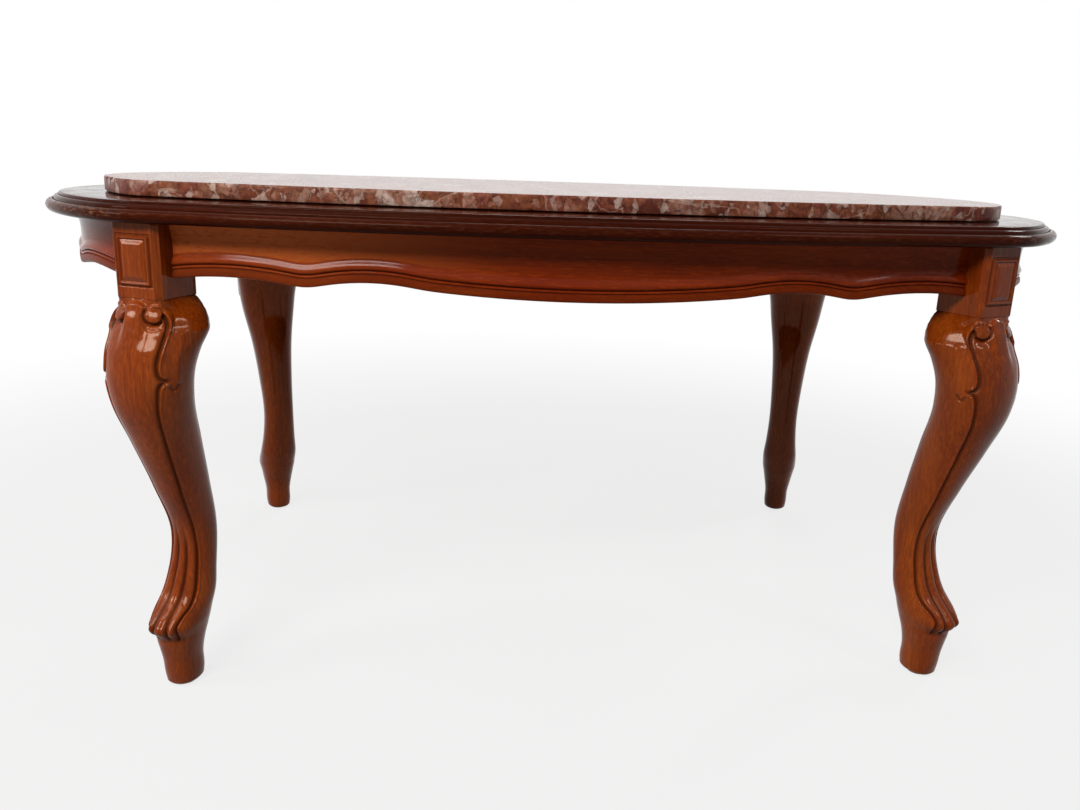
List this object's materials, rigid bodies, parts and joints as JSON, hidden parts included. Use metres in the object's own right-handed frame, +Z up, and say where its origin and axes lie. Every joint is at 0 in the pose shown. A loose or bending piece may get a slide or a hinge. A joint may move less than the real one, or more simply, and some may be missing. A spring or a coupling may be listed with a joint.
{
  "type": "center table",
  "caption": "Low oval center table with cabriole legs, wavy bowed aprons and a moulded wooden top that carries a loose marble slab.",
  "frame": {"origin": "on the floor under the middle of the table", "axes": "+X along the table's length to the right seen from the front, -Y to the front, +Z up"},
  "size_m": [1.1398, 0.67, 0.51],
  "materials": {
    "lacquered_wood": "gloss lacquer over a red-brown stain",
    "plywood": "bare plywood",
    "inner_wood": "bare sawn wood",
    "dowel_wood": "bare turned wood",
    "marble": "polished red breccia marble, opaque",
    "screw_steel": "yellow passivated steel",
    "clear_pad": "clear soft plastic",
    "glide_plastic": "dark brown plastic"
  },
  "bodies": {
    "frame": {"leg_front_left": "lacquered_wood", "leg_front_right": "lacquered_wood", "leg_back_left": "lacquered_wood", "leg_back_right": "lacquered_wood", "apron_front": "lacquered_wood", "top_rail_front": "lacquered_wood", "apron_back": "lacquered_wood", "top_rail_back": "lacquered_wood", "apron_left": "lacquered_wood", "top_rail_left": "lacquered_wood", "apron_right": "lacquered_wood", "top_rail_right": "lacquered_wood", "top_deck": "plywood", "bearer_left": "inner_wood", "bearer_right": "inner_wood", "cleat_front_left": "inner_wood", "cleat_front_right": "inner_wood", "cleat_back_left": "inner_wood", "cleat_back_right": "inner_wood", "cleat_left": "inner_wood", "cleat_right": "inner_wood", "apron_dowels": "dowel_wood", "top_rail_dowels": "dowel_wood", "bearer_dowels": "dowel_wood", "cleat_screws": "screw_steel", "top_screws": "screw_steel", "bearer_screws": "screw_steel", "slab_pads": "clear_pad", "foot_glides": "glide_plastic"},
    "slab": {"marble_slab": "marble"}
  },
  "joints": [
    {"name": "slab_lift", "type": "slide", "parent": "frame", "child": "slab", "axis": [0, 0, 1], "range_m": [0, 0.12]}
  ]
}
